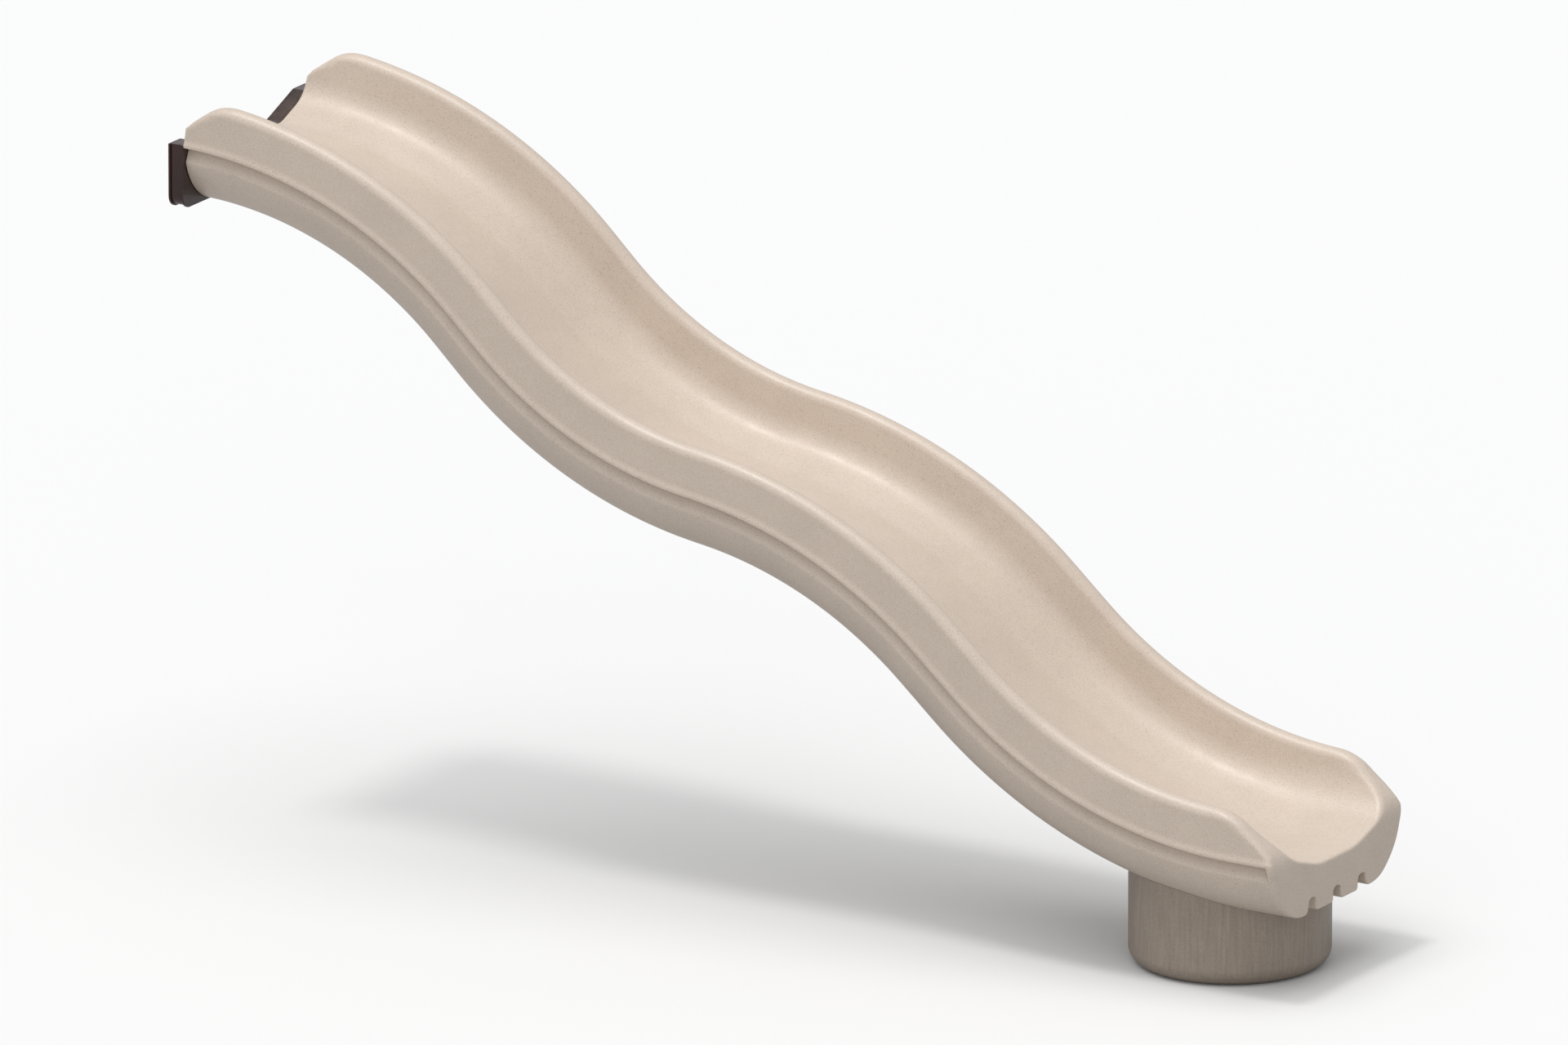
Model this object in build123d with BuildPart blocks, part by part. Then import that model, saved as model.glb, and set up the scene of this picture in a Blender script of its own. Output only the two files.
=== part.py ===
from build123d import *
import os
from math import asin, cos, radians, sin, sqrt, tan

# Wave slide for a playground deck: a hollow moulded chute, the welded steel bracket that bolts its
# upper end to the deck, and the moulded drum that carries its lower end in the ground.
# +Z is up, +X is downhill, Y is across. The origin is on the drum's base, under the slide's middle.

os.makedirs("parts", exist_ok=True)

# Bed line, from the chute's upper end down: length of each stretch and its fall in degrees
exit_height = 292.0
entry_run = 407.0
entry_fall = 3.3
upper_run = 580.0
upper_fall = 44.4
middle_run = 684.0
middle_fall = 9.3
lower_run = 662.0
lower_fall = 42.1
exit_run = 546.0
exit_fall = 1.1
bend_radii = [1050.0, 1065.0, 1135.0, 1175.0]

# Chute section, measured square to the bed line from the middle of the bed
chute_width = 616.0
rim_width = 47.45
bank_angle = 21.2
bank_rise = 41.2
wall_angle = 78.9
rim_height = 155.0
rim_radius = 24.0
crease_radius = 60.0
bank_radius = 55.0
lip_height = 40.0
lip_recess_depth = 20.0
lip_recess_height = 36.0
belly_setback = 6.0
belly_depth = 109.0
belly_radius = 150.0
groove_land = 19.0
groove_width = 36.0
groove_depth = 35.0
groove_radius = 13.0
rib_edge_radius = 9.0
chute_wall = 6.5

# Chute ends, in the side view
entry_end_height = 87.0
entry_bevel = 35.0
exit_end_height = 54.0
exit_bevel = 41.5

# Deck bracket
bracket_depth = 39.0
bracket_plate = 5.0
bracket_sheet = 3.0
bracket_shoulder = 46.0
bracket_lift = 2.0
bracket_corner = 30.0
shoulder_radius = 10.0
sill_drop = 1.5
cheek_inset = 4.0
cheek_return = 104.0
rib_y = 125.0
deck_hole_line = 25.0
deck_hole_spacings = [180.0, 430.0]

# Foot drum
foot_diameter = 467.0
foot_from_exit = 281.0
foot_wall = 7.0
foot_edge_radius = 40.0
foot_opening = 230.0
foot_seat_gap = 0.3
strip_width = 60.0
strip_length = 200.0
strip_thickness = 5.0
anchor_pitch_circle = 310.0
anchor_hole = 14.0
ring_width = 56.0
ring_thickness = 6.0

# Fasteners: M10 hexagon bolts in moulded-in inserts, and M6 screws in the anchor ring
bolt_diameter = 10.0
bolt_clearance = 1.0
bolt_across_flats = 16.0
bolt_head = 6.4
washer_diameter = 21.0
washer_thickness = 2.0
thread_clearance = 0.05
insert_diameter = 16.0
insert_length = 22.0
insert_flange = 2.0
insert_cover = 6.0
inner_entry_bolts = [(60.0, -45.0), (165.0, -38.0)]
outer_bolt_setback = 46.0
foot_bolt_pitch = 130.0
screw_diameter = 6.0
screw_head_diameter = 11.0
screw_head = 3.5
screw_length = 12.0
plug_diameter = 16.0
plug_cap_diameter = 22.0
plug_cap = 2.5
plug_gap = 0.1
plug_places = [0.12, 0.7]

# Worked out from the sizes above
wave = [
    (entry_run, entry_fall),
    (upper_run, upper_fall),
    (middle_run, middle_fall),
    (lower_run, lower_fall),
    (exit_run, exit_fall),
]
slide_length = bracket_depth + sum(run for run, fall in wave)
deck_height = exit_height + sum(run * tan(radians(fall)) for run, fall in wave)
deck_x = -slide_length / 2
chute_x = deck_x + bracket_depth
exit_x = slide_length / 2
foot_x = exit_x - foot_from_exit
trim = 60.0
clear_above = rim_height + trim


def bed_points():
    """Corner points of the bed line in the XZ plane, run past both ends for trimming."""
    x = chute_x
    z = deck_height
    points = []
    for run, fall in wave:
        points.append((x, z))
        x += run
        z -= run * tan(radians(fall))
    points[0] = (chute_x - trim, deck_height + trim * tan(radians(entry_fall)))
    points.append((exit_x + trim, z - trim * tan(radians(exit_fall))))
    return points


with BuildLine(Plane.XZ) as bed_line:
    FilletPolyline(*bed_points(), radius=bend_radii)

section_plane = Plane(origin=bed_line.line @ 0, x_dir=(0, 1, 0), z_dir=bed_line.line % 0)
deck_plane = Plane(origin=(deck_x, 0, deck_height), x_dir=(0, 1, 0), z_dir=(1, 0, 0))
chute_end_plane = deck_plane.offset(bracket_depth)

# Corners of half the chute's section, in from the outside of the rim
half_width = chute_width / 2
rim_y = half_width - rim_width
bank_y = rim_y - (rim_height - bank_rise) / tan(radians(wall_angle))
bed_width = 2 * (bank_y - bank_rise / tan(radians(bank_angle)))
belly_width = chute_width - 2 * belly_setback
belly_y = belly_width / 2 - belly_radius
belly_z = belly_radius - belly_depth
groove_outer = belly_y - groove_land
groove_inner = groove_outer - groove_width


def set_in(y, z, angle_before, angle_after, distance):
    """A corner of the section moved into the material, square to the two lines that meet there."""
    middle = radians((angle_before + angle_after) / 2)
    reach = distance / cos(radians((angle_after - angle_before) / 2))
    return (y + reach * sin(middle), z - reach * cos(middle))


def chute_outline(inset):
    """The chute's section, or its hollow when set in by the wall: bed, bank, wall, rim, lip, belly."""
    side_y = half_width - inset
    step_y = side_y - lip_recess_depth
    lip_z = lip_height + inset
    arc_radius = belly_radius - inset
    arc_bottom = inset - belly_depth
    groove_z = groove_depth - belly_depth + inset
    if inset:
        arc_start = (step_y, belly_z - sqrt(arc_radius**2 - (step_y - belly_y) ** 2))
        step = [(side_y, lip_z), (step_y, lip_z), arc_start]
    else:
        recess_z = lip_height - lip_recess_height
        arc_start = (belly_y + sqrt(arc_radius**2 - (recess_z - belly_z) ** 2), recess_z)
        step = [(side_y, lip_z), (step_y, lip_z), (step_y, recess_z), arc_start]
    arc_middle = (belly_y + arc_radius * cos(radians(50)), belly_z - arc_radius * sin(radians(50)))
    with BuildSketch(section_plane) as outline:
        with BuildLine():
            FilletPolyline(
                (0, -inset),
                set_in(bed_width / 2, 0, 0, bank_angle, inset),
                set_in(bank_y, bank_rise, bank_angle, wall_angle, inset),
                set_in(rim_y, rim_height, wall_angle, 0, inset),
                set_in(half_width, rim_height, 0, -90, inset),
                (side_y, lip_z),
                radius=[crease_radius + inset, bank_radius + inset, rim_radius - inset, rim_radius - inset],
            )
            Polyline(*step)
            ThreePointArc(arc_start, arc_middle, (belly_y, arc_bottom))
            FilletPolyline(
                (belly_y, arc_bottom),
                (groove_outer + inset, arc_bottom),
                (groove_outer + inset, groove_z),
                (groove_inner - inset, groove_z),
                (groove_inner - inset, arc_bottom),
                (groove_width / 2 + inset, arc_bottom),
                (groove_width / 2 + inset, groove_z),
                (0, groove_z),
                radius=[rib_edge_radius - inset, groove_radius + inset, groove_radius + inset]
                + [rib_edge_radius - inset, rib_edge_radius - inset, groove_radius + inset],
            )
            mirror(about=Plane.YZ)
        make_face()
    return outline.sketch


def end_slope(end_height, bevel, inset):
    """Height of a bevelled end's top corner, and the run from that end to where the bevel is clear above."""
    rise = inset / cos(radians(bevel))
    corner = end_height + inset * tan(radians(bevel)) - rise
    run = (deck_height + clear_above - end_height + rise) / tan(radians(bevel))
    return corner, run


def trim_to_ends(inset):
    """Block that trims the chute: upright ends, with the rims bevelled down to each end."""
    low = inset - trim
    top = deck_height + clear_above
    entry_z, entry_reach = end_slope(deck_height + entry_end_height, entry_bevel, inset)
    exit_z, exit_reach = end_slope(exit_height + exit_end_height, exit_bevel, inset)
    with BuildPart() as block:
        with BuildSketch(Plane.XZ.offset(-chute_width)):
            with BuildLine():
                Polyline(
                    (chute_x + inset, low),
                    (chute_x + inset, entry_z),
                    (chute_x + entry_reach, top),
                    (exit_x - exit_reach, top),
                    (exit_x - inset, exit_z),
                    (exit_x - inset, low),
                    close=True,
                )
            make_face()
        extrude(amount=2 * chute_width)
    return block.part


# The last bend, whose underside rests on the drum
last_bend = bed_line.edges().filter_by(GeomType.CIRCLE).sort_by(Axis.X)[-1]
bend_centre = last_bend.arc_center
belly_bend_radius = last_bend.radius + belly_depth
foot_angle = asin((foot_x - bend_centre.X) / belly_bend_radius)


def belly_plane(angle, y, below=0.0):
    """Plane on the chute's underside over the drum, facing up into the chute."""
    reach = belly_bend_radius + below
    origin = (bend_centre.X + reach * sin(angle), y, bend_centre.Z - reach * cos(angle))
    return Plane(origin=origin, x_dir=(cos(angle), 0, sin(angle)), z_dir=(-sin(angle), 0, cos(angle)))


foot_bolt_y = (groove_inner + groove_width / 2) / 2
foot_bolt_step = foot_bolt_pitch / 2 / belly_bend_radius
foot_bolt_spots = [
    (foot_angle + step, y) for step in (-foot_bolt_step, foot_bolt_step) for y in (-foot_bolt_y, foot_bolt_y)
]
entry_bolt_places = inner_entry_bolts + [(half_width - outer_bolt_setback, 0.0)]
entry_bolt_spots = [(side * y, z) for y, z in entry_bolt_places for side in (-1, 1)]
bolt_hole = bolt_diameter + bolt_clearance
boss_diameter = insert_diameter + 2 * insert_cover
boss_length = insert_length + insert_cover


def plug_plane(part_of_length):
    """Plane on the underside of a rib at part of the bed line's length, facing up into the chute."""
    tangent = bed_line.line % part_of_length
    up = Vector(-tangent.Z, 0, tangent.X)
    spot = bed_line.line @ part_of_length - up * belly_depth
    return Plane(origin=(spot.X, foot_bolt_y, spot.Z), x_dir=tangent, z_dir=up)


# Chute: rotationally moulded polyethylene, hollow, one piece
with BuildPart() as cavity:
    sweep(sections=chute_outline(chute_wall), path=bed_line.wire())
    add(trim_to_ends(chute_wall), mode=Mode.INTERSECT)

with BuildPart() as chute:
    sweep(sections=chute_outline(0), path=bed_line.wire())
    add(trim_to_ends(0), mode=Mode.INTERSECT)
    add(cavity.part, mode=Mode.SUBTRACT)
    with BuildSketch(chute_end_plane):
        with Locations(*entry_bolt_spots):
            Circle(boss_diameter / 2)
    extrude(amount=boss_length)
    for angle, y in foot_bolt_spots:
        with BuildSketch(belly_plane(angle, y, -chute_wall / 2)):
            Circle(boss_diameter / 2)
        extrude(amount=boss_length - chute_wall / 2)
    with BuildSketch(chute_end_plane):
        with Locations(*entry_bolt_spots):
            Circle(insert_diameter / 2)
    extrude(amount=insert_length, mode=Mode.SUBTRACT)
    for angle, y in foot_bolt_spots:
        with BuildSketch(belly_plane(angle, y, chute_wall)):
            Circle(insert_diameter / 2)
        extrude(amount=insert_length + chute_wall, mode=Mode.SUBTRACT)
    for place in plug_places:
        with BuildSketch(plug_plane(place).offset(-chute_wall)):
            Circle(plug_diameter / 2)
        extrude(amount=3 * chute_wall, mode=Mode.SUBTRACT)
chute.part.label = "chute"
export_step(chute.part, "parts/chute.step")


def insert_at(plane):
    """Blind threaded insert, flush with the moulded face it sits in."""
    with BuildPart() as insert:
        with BuildSketch(plane):
            Circle(insert_diameter / 2)
        extrude(amount=insert_length)
        with BuildSketch(plane):
            Circle(bolt_diameter / 2 + thread_clearance)
        extrude(amount=insert_length - insert_flange, mode=Mode.SUBTRACT)
    return insert.part


def bolt_at(plane, grip):
    """Hexagon bolt whose head bears on the washer, with its shank running up into the insert."""
    with BuildPart() as bolt:
        with BuildSketch(plane.offset(-grip)):
            RegularPolygon(bolt_across_flats / 2, 6, major_radius=False)
        extrude(amount=-bolt_head)
        with BuildSketch(plane.offset(-grip)):
            Circle(bolt_diameter / 2)
        extrude(amount=grip + insert_length - 2 * insert_flange)
    return bolt.part


def washer_at(plane, grip):
    """Flat washer under a bolt's head."""
    with BuildPart() as washer:
        with BuildSketch(plane.offset(-grip)):
            Circle(washer_diameter / 2)
            Circle(bolt_hole / 2, mode=Mode.SUBTRACT)
        extrude(amount=washer_thickness)
    return washer.part


entry_bolt_planes = [
    Plane(origin=(chute_x, y, deck_height + z), x_dir=(0, 1, 0), z_dir=(1, 0, 0)) for y, z in entry_bolt_spots
]
entry_grip = bracket_plate + washer_thickness
foot_bolt_planes = [belly_plane(angle, y) for angle, y in foot_bolt_spots]
foot_grip = foot_seat_gap + foot_wall + strip_thickness + washer_thickness

for name, planes, grip in (("entry", entry_bolt_planes, entry_grip), ("foot", foot_bolt_planes, foot_grip)):
    with BuildPart() as inserts:
        for plane in planes:
            add(insert_at(plane))
    inserts.part.label = name + "_inserts"
    export_step(inserts.part, "parts/" + name + "_inserts.step")

    with BuildPart() as bolts:
        for plane in planes:
            add(bolt_at(plane, grip))
    bolts.part.label = name + "_bolts"
    export_step(bolts.part, "parts/" + name + "_bolts.step")

    with BuildPart() as washers:
        for plane in planes:
            add(washer_at(plane, grip))
    washers.part.label = name + "_washers"
    export_step(washers.part, "parts/" + name + "_washers.step")

# Plugs in the holes that vent the mould
with BuildPart() as vent_plugs:
    for place in plug_places:
        with BuildSketch(plug_plane(place).offset(-plug_gap)):
            Circle(plug_diameter / 2)
        extrude(amount=chute_wall)
        with BuildSketch(plug_plane(place).offset(-plug_gap)):
            Circle(plug_cap_diameter / 2)
        extrude(amount=-plug_cap)
vent_plugs.part.label = "vent_plugs"
export_step(vent_plugs.part, "parts/vent_plugs.step")

# Deck bracket: two plates, a bent sill between them, a cheek each side and two ribs, welded
shoulder_y = bed_width / 2 + (bracket_shoulder + sill_drop) / tan(radians(bank_angle))
bracket_bottom = belly_depth - bracket_lift


def bracket_face(plane, lowered=0.0, inset=0.0):
    """Outline of the bracket's plates: a rounded box with the trough let into its top."""
    sill = sill_drop + lowered
    side = half_width - inset
    with BuildSketch(plane) as face:
        with BuildLine():
            FilletPolyline(
                (0, -sill),
                (bed_width / 2, -sill),
                (shoulder_y, bracket_shoulder - lowered),
                (side, bracket_shoulder - lowered),
                (side, -bracket_bottom),
                (0, -bracket_bottom),
                radius=[crease_radius, shoulder_radius, 0, bracket_corner],
            )
            mirror(about=Plane.YZ)
        make_face()
    return face.sketch


with BuildPart() as deck_plate:
    extrude(bracket_face(deck_plane), amount=bracket_plate)
    with BuildSketch(deck_plane):
        for spacing in deck_hole_spacings:
            with Locations((-spacing / 2, -deck_hole_line), (spacing / 2, -deck_hole_line)):
                Circle(bolt_hole / 2)
    extrude(amount=bracket_plate, mode=Mode.SUBTRACT)
deck_plate.part.label = "deck_plate"
export_step(deck_plate.part, "parts/deck_plate.step")

with BuildPart() as chute_plate:
    extrude(bracket_face(chute_end_plane.offset(-bracket_plate)), amount=bracket_plate)
    with BuildSketch(chute_end_plane):
        with Locations(*entry_bolt_spots):
            Circle(bolt_hole / 2)
    extrude(amount=-bracket_plate, mode=Mode.SUBTRACT)
chute_plate.part.label = "chute_plate"
export_step(chute_plate.part, "parts/chute_plate.step")

inner_plane = deck_plane.offset(bracket_plate)
inner_depth = bracket_depth - 2 * bracket_plate

with BuildPart() as sill_sheet:
    extrude(bracket_face(inner_plane, 0, cheek_inset), amount=inner_depth)
    extrude(bracket_face(inner_plane, bracket_sheet, cheek_inset), amount=inner_depth, mode=Mode.SUBTRACT)
sill_sheet.part.label = "sill_sheet"
export_step(sill_sheet.part, "parts/sill_sheet.step")

cheek_top = bracket_shoulder - bracket_sheet
cheek_y = half_width - cheek_inset
cheek_bottom = cheek_inset - bracket_bottom
cheek_corner = bracket_corner - cheek_inset
for name, side in (("cheek_left", 1), ("cheek_right", -1)):
    outer_y = side * cheek_y
    inner_y = side * (cheek_y - bracket_sheet)
    return_y = side * (cheek_y - cheek_return)
    with BuildPart() as cheek:
        with BuildSketch(inner_plane):
            with BuildLine():
                FilletPolyline(
                    (outer_y, cheek_top),
                    (outer_y, cheek_bottom),
                    (return_y, cheek_bottom),
                    radius=cheek_corner,
                )
                FilletPolyline(
                    (inner_y, cheek_top),
                    (inner_y, cheek_bottom + bracket_sheet),
                    (return_y, cheek_bottom + bracket_sheet),
                    radius=cheek_corner - bracket_sheet,
                )
                Line((outer_y, cheek_top), (inner_y, cheek_top))
                Line((return_y, cheek_bottom), (return_y, cheek_bottom + bracket_sheet))
            make_face()
        extrude(amount=inner_depth)
    cheek.part.label = name
    export_step(cheek.part, "parts/" + name + ".step")

rib_height = -cheek_bottom - sill_drop - bracket_sheet
for name, side in (("rib_left", 1), ("rib_right", -1)):
    with BuildPart() as rib:
        with BuildSketch(inner_plane):
            with Locations((side * rib_y, cheek_bottom)):
                Rectangle(bracket_plate, rib_height, align=(Align.CENTER, Align.MIN))
        extrude(amount=inner_depth)
    rib.part.label = name
    export_step(rib.part, "parts/" + name + ".step")


def belly_space(gap):
    """The chute's belly grown by a gap and carried up past its rims, as the drum's top is cut to it."""
    with BuildSketch(section_plane) as belly:
        with Locations((0, -belly_depth - gap)):
            Rectangle(belly_width + 2 * gap, belly_depth + clear_above, align=(Align.CENTER, Align.MIN))
        fillet(belly.vertices().group_by(Axis.Y)[0], belly_radius + gap)
    with BuildPart() as space:
        sweep(sections=belly.sketch, path=bed_line.wire())
    return space.part


# Foot drum: rotationally moulded polyethylene, its top shaped to the chute's belly
foot_plane = Plane(origin=(foot_x, 0, 0))
drum_top = exit_height + trim
drum_radius = foot_diameter / 2

with BuildPart() as drum_hollow:
    with BuildSketch(foot_plane.offset(foot_wall)):
        Circle(drum_radius - foot_wall)
    extrude(amount=drum_top - foot_wall)
    fillet(drum_hollow.faces().sort_by(Axis.Z)[0].edges(), foot_edge_radius - foot_wall)
    add(belly_space(foot_seat_gap + foot_wall), mode=Mode.SUBTRACT)

with BuildPart() as foot_drum:
    with BuildSketch(foot_plane):
        Circle(drum_radius)
    extrude(amount=drum_top)
    fillet(foot_drum.faces().sort_by(Axis.Z)[0].edges(), foot_edge_radius)
    add(belly_space(foot_seat_gap), mode=Mode.SUBTRACT)
    add(drum_hollow.part, mode=Mode.SUBTRACT)
    with BuildSketch(foot_plane):
        Circle(foot_opening / 2)
        with PolarLocations(anchor_pitch_circle / 2, 4):
            Circle(anchor_hole / 2)
        with PolarLocations(anchor_pitch_circle / 2, 4, start_angle=45):
            Circle(screw_diameter / 2 + thread_clearance)
    extrude(amount=foot_wall, mode=Mode.SUBTRACT)
    for plane in foot_bolt_planes:
        with BuildSketch(plane):
            Circle(bolt_hole / 2)
        extrude(amount=-foot_grip, mode=Mode.SUBTRACT)
foot_drum.part.label = "foot_drum"
export_step(foot_drum.part, "parts/foot_drum.step")


def bend_point(radius, angle):
    """Point in the XZ plane at a radius and an angle about the last bend's centre."""
    return (bend_centre.X + radius * sin(angle), bend_centre.Z - radius * cos(angle))


# Steel strips inside the drum's top that spread the load of the four bolts
strip_top = belly_bend_radius + foot_seat_gap + foot_wall
strip_bottom = strip_top + strip_thickness
strip_swing = strip_length / 2 / strip_top

for name, side in (("saddle_strip_left", 1), ("saddle_strip_right", -1)):
    with BuildPart() as strip:
        with BuildSketch(Plane.XZ.offset(-side * foot_bolt_y)):
            with BuildLine():
                start = foot_angle - strip_swing
                end = foot_angle + strip_swing
                for radius in (strip_top, strip_bottom):
                    middle = bend_point(radius, foot_angle)
                    ThreePointArc(bend_point(radius, start), middle, bend_point(radius, end))
                for angle in (start, end):
                    Line(bend_point(strip_top, angle), bend_point(strip_bottom, angle))
            make_face()
        extrude(amount=strip_width / 2, both=True)
        for plane, (angle, y) in zip(foot_bolt_planes, foot_bolt_spots):
            if y * side > 0:
                with BuildSketch(plane):
                    Circle(bolt_hole / 2)
                extrude(amount=-foot_grip, mode=Mode.SUBTRACT)
    strip.part.label = name
    export_step(strip.part, "parts/" + name + ".step")

# Steel ring on the drum's inner flange, held by four screws, with holes for the ground anchors
ring_plane = foot_plane.offset(foot_wall)
pitch_radius = anchor_pitch_circle / 2

with BuildPart() as anchor_ring:
    with BuildSketch(ring_plane):
        Circle(pitch_radius + ring_width / 2)
        Circle(pitch_radius - ring_width / 2, mode=Mode.SUBTRACT)
        with PolarLocations(pitch_radius, 4):
            Circle(anchor_hole / 2, mode=Mode.SUBTRACT)
        with PolarLocations(pitch_radius, 4, start_angle=45):
            Circle(screw_diameter / 2 + thread_clearance, mode=Mode.SUBTRACT)
    extrude(amount=ring_thickness)
anchor_ring.part.label = "anchor_ring"
export_step(anchor_ring.part, "parts/anchor_ring.step")

with BuildPart() as ring_screws:
    with BuildSketch(ring_plane.offset(ring_thickness)):
        with PolarLocations(pitch_radius, 4, start_angle=45):
            Circle(screw_head_diameter / 2)
    extrude(amount=screw_head)
    with BuildSketch(ring_plane.offset(ring_thickness)):
        with PolarLocations(pitch_radius, 4, start_angle=45):
            Circle(screw_diameter / 2)
    extrude(amount=-screw_length)
ring_screws.part.label = "ring_screws"
export_step(ring_screws.part, "parts/ring_screws.step")
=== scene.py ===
from bisect import bisect_right
from math import atan2, ceil, cos, hypot, pi, radians, sin, sqrt, tan

import bmesh
import bpy
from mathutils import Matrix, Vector
from mathutils.geometry import delaunay_2d_cdt


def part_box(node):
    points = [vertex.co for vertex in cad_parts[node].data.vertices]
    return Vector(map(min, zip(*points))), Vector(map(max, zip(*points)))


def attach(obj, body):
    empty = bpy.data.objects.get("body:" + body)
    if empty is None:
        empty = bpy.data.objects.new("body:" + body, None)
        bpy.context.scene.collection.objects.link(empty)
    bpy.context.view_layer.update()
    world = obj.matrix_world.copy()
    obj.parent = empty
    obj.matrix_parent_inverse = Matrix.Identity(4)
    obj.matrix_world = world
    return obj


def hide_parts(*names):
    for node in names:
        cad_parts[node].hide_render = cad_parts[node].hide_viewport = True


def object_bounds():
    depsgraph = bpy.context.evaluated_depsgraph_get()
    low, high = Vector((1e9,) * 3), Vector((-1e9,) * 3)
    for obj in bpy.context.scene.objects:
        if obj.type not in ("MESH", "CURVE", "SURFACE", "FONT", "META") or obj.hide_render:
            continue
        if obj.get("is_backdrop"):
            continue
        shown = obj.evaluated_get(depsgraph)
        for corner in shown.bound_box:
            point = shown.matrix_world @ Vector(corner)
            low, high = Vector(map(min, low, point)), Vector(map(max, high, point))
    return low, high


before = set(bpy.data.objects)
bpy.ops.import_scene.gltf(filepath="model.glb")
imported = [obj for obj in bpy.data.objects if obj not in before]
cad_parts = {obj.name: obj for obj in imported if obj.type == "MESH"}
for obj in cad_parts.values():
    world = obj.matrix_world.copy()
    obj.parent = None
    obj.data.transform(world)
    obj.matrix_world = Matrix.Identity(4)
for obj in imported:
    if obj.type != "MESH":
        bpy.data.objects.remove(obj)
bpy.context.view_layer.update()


# Chute: one hollow piece of rotationally moulded polyethylene in granite tan. The same trough section
# runs down the whole wave: a flat bed, a bank each side, steep walls, rolled rims, an outside lip with a
# finger recess under it, and a belly with three long grooves. Both ends are bevelled down from the rims.
mm = 0.001
chute_low, chute_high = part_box("chute")
wave_runs = [(407, 3.3), (580, 44.4), (684, 9.3), (662, 42.1), (546, 1.1)]
bend_radii = [1050, 1065, 1135, 1175]
belly_depth = 109
bed_end_z = chute_low.z / mm + belly_depth / cos(radians(wave_runs[-1][1]))
bed_start_z = bed_end_z + sum(run * tan(radians(fall)) for run, fall in wave_runs)
upper_end_x = chute_low.x / mm
lower_end_x = chute_high.x / mm


def bed_line(step):
    """Points down the middle of the bed as (distance, x, z, fall angle), in short straight steps."""
    corners = [(upper_end_x, bed_start_z)]
    for run, fall in wave_runs:
        x, z = corners[-1]
        corners.append((x + run, z - run * tan(radians(fall))))
    falls = [radians(fall) for run, fall in wave_runs]
    points = []
    along = 0.0
    x, z = corners[0]
    for number, fall in enumerate(falls):
        end_x, end_z = corners[number + 1]
        turn = 0.0
        if number < len(bend_radii):
            turn = falls[number + 1] - fall
            back = bend_radii[number] * tan(abs(turn) / 2)
            end_x -= back * cos(fall)
            end_z += back * sin(fall)
        length = hypot(end_x - x, end_z - z)
        steps = ceil(length / step)
        for i in range(steps):
            part = i / steps
            spot = along + length * part
            points.append((spot, x + (end_x - x) * part, z + (end_z - z) * part, fall))
        along += length
        x, z = end_x, end_z
        if not turn:
            points.append((along, x, z, fall))
            continue
        radius = bend_radii[number]
        side = 1 if turn > 0 else -1
        centre_x = x - side * radius * sin(fall)
        centre_z = z - side * radius * cos(fall)
        steps = ceil(radius * abs(turn) / step)
        for i in range(steps):
            angle = fall + turn * i / steps
            spot = along + radius * abs(turn) * i / steps
            x = centre_x + side * radius * sin(angle)
            z = centre_z + side * radius * cos(angle)
            points.append((spot, x, z, angle))
        along += radius * abs(turn)
        x = centre_x + side * radius * sin(fall + turn)
        z = centre_z + side * radius * cos(fall + turn)
    return points


fine_step, station_step = 4, 22
bed = bed_line(fine_step)
bed_spots = [point[0] for point in bed]
bed_length = bed_spots[-1]


def above_bed(spot, height):
    """Side-view point at a height square above the bed line, also past both of its ends."""
    i = min(max(bisect_right(bed_spots, spot) - 1, 0), len(bed) - 2)
    a, b = bed[i], bed[i + 1]
    part = (spot - a[0]) / (b[0] - a[0])
    fall = a[3] + (b[3] - a[3]) * min(max(part, 0), 1)
    x = a[1] + (b[1] - a[1]) * part
    z = a[2] + (b[2] - a[2]) * part
    return x + height * sin(fall), z + height * cos(fall)


def rounded(corners, step=15):
    """Line through the corners (across, up, radius), with each corner rounded in steps of some degrees."""
    line = [corners[0][:2]]
    for before, (y, z, radius), after in zip(corners, corners[1:], corners[2:]):
        ay, az = before[0] - y, before[1] - z
        by, bz = after[0] - y, after[1] - z
        a_length, b_length = hypot(ay, az), hypot(by, bz)
        ay, az, by, bz = ay / a_length, az / a_length, by / b_length, bz / b_length
        between = atan2(abs(ay * bz - az * by), ay * by + az * bz)
        turn = pi - between
        if not radius or turn < 0.02:
            line.append((y, z))
            continue
        reach = radius / tan(between / 2)
        middle = hypot(ay + by, az + bz)
        to_centre = radius / sin(between / 2)
        cy, cz = y + (ay + by) / middle * to_centre, z + (az + bz) / middle * to_centre
        start = atan2(z + az * reach - cz, y + ay * reach - cy)
        end = atan2(z + bz * reach - cz, y + by * reach - cy)
        sweep = (end - start + pi) % (2 * pi) - pi
        steps = max(2, ceil(abs(sweep) / radians(step)))
        for i in range(steps + 1):
            angle = start + sweep * i / steps
            line.append((cy + radius * cos(angle), cz + radius * sin(angle)))
    line.append(corners[-1][:2])
    return line


def closer(lines, longest):
    """The same lines, point for point alike, with no stretch longer than this."""
    out = [[line[0]] for line in lines]
    for i in range(1, len(lines[0])):
        stretches = [hypot(line[i][0] - line[i - 1][0], line[i][1] - line[i - 1][1]) for line in lines]
        steps = ceil(max(stretches) / longest)
        for made, line in zip(out, lines):
            (ay, az), (by, bz) = line[i - 1], line[i]
            made += [(ay + (by - ay) * k / steps, az + (bz - az) * k / steps) for k in range(1, steps + 1)]
    return out


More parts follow.
